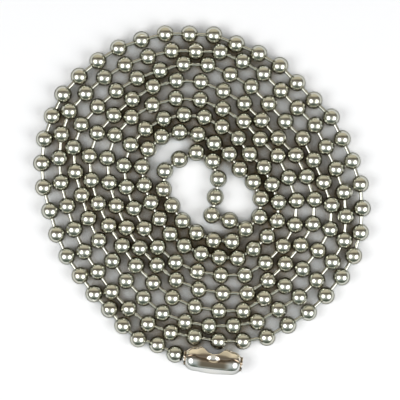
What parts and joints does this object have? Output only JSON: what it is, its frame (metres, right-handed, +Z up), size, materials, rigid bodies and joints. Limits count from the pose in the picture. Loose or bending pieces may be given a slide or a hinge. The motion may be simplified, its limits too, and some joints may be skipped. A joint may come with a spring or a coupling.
{
  "type": "roller blind chain",
  "caption": "Metal ball chain for a roller blind, lying in a flat oval coil, with a folded sleeve connector on its outer end and a free inner end.",
  "frame": {"origin": "on the surface that the coil lies on, under the middle of its bounding box", "axes": "+Z up out of the coil, +X along the picture's right, +Y along the picture's top; the connector lies at the -Y side"},
  "size_m": [0.0858, 0.0888, 0.0056],
  "materials": {
    "chain_nickel": "bright nickel plate on rolled steel balls and links, warm grey, fine drawn marks",
    "connector_nickel": "bright nickel plate on a folded steel sleeve, polished"
  },
  "bodies": {
    "root": {"free_end_ball": "chain_nickel", "free_end_link": "chain_nickel", "strand_01": "chain_nickel", "strand_02": "chain_nickel", "strand_03": "chain_nickel", "strand_04": "chain_nickel", "strand_05": "chain_nickel", "strand_06": "chain_nickel", "strand_07": "chain_nickel", "strand_08": "chain_nickel", "strand_09": "chain_nickel", "strand_10": "chain_nickel", "strand_11": "chain_nickel", "strand_12": "chain_nickel", "strand_13": "chain_nickel", "strand_14": "chain_nickel", "strand_15": "chain_nickel", "strand_16": "chain_nickel", "strand_17": "chain_nickel", "strand_18": "chain_nickel", "strand_19": "chain_nickel", "strand_20": "chain_nickel", "strand_21": "chain_nickel", "strand_22": "chain_nickel", "strand_23": "chain_nickel", "strand_24": "chain_nickel", "strand_25": "chain_nickel", "strand_26": "chain_nickel", "strand_27": "chain_nickel", "strand_28": "chain_nickel", "strand_29": "chain_nickel", "strand_30": "chain_nickel", "strand_31": "chain_nickel", "strand_32": "chain_nickel", "strand_33": "chain_nickel", "strand_34": "chain_nickel", "strand_35": "chain_nickel", "strand_36": "chain_nickel", "strand_37": "chain_nickel", "strand_38": "chain_nickel", "strand_39": "chain_nickel", "strand_40": "chain_nickel", "strand_41": "chain_nickel", "strand_42": "chain_nickel", "strand_43": "chain_nickel", "strand_44": "chain_nickel", "strand_45": "chain_nickel", "strand_46": "chain_nickel", "strand_47": "chain_nickel", "strand_48": "chain_nickel", "strand_49": "chain_nickel", "strand_50": "chain_nickel", "strand_51": "chain_nickel", "strand_52": "chain_nickel", "strand_53": "chain_nickel", "strand_54": "chain_nickel", "coupled_ball": "chain_nickel", "connector": "connector_nickel"}
  },
  "joints": []
}
